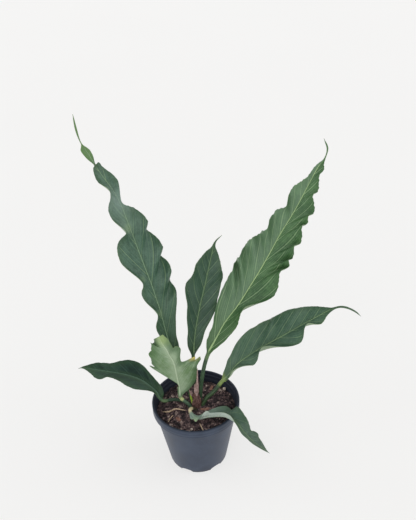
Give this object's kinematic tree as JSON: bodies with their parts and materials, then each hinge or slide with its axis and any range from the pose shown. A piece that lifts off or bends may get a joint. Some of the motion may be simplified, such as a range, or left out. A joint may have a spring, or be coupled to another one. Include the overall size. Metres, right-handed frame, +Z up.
{
  "type": "potted anthurium hookeri",
  "caption": "Bird's-nest anthurium with long ruffled leaves on a short stem, standing in soil in a tapered round nursery pot.",
  "frame": {"origin": "middle of the pot's flat underside, on the surface that the pot stands on", "axes": "+Z up along the pot's axis, -Y towards the viewer of the picture, +X to that viewer's right"},
  "size_m": [0.3838, 0.1753, 0.4811],
  "materials": {
    "pot": "satin",
    "soil": "rough peat and bark mix",
    "stem": "rough",
    "leaf_tall_left": "satin leaf",
    "leaf_back": "satin leaf",
    "leaf_large_right": "satin leaf",
    "leaf_right_arching": "satin leaf",
    "leaf_front_drooping": "satin leaf",
    "leaf_left_low": "satin leaf",
    "leaf_pale_torn": "satin leaf, pale underside",
    "sheath": "dry and papery",
    "shoot": "satin leaf",
    "root": "dry",
    "bark": "rough",
    "perlite": "matte"
  },
  "bodies": {
    "root": {"pot": "pot", "soil": "soil", "stem": "stem", "leaf_tall_left": "leaf_tall_left", "leaf_back": "leaf_back", "leaf_large_right": "leaf_large_right", "leaf_right_arching": "leaf_right_arching", "leaf_front_drooping": "leaf_front_drooping", "leaf_left_low": "leaf_left_low", "leaf_pale_torn": "leaf_pale_torn", "sheath_front": "sheath", "sheath_left": "sheath", "shoot_young": "shoot", "root_left_long": "root", "root_left_short": "root", "root_front": "root", "bark_chip_right": "bark", "bark_chip_left": "bark", "bark_chip_back": "bark", "perlite_right": "perlite", "perlite_front": "perlite"}
  },
  "joints": []
}
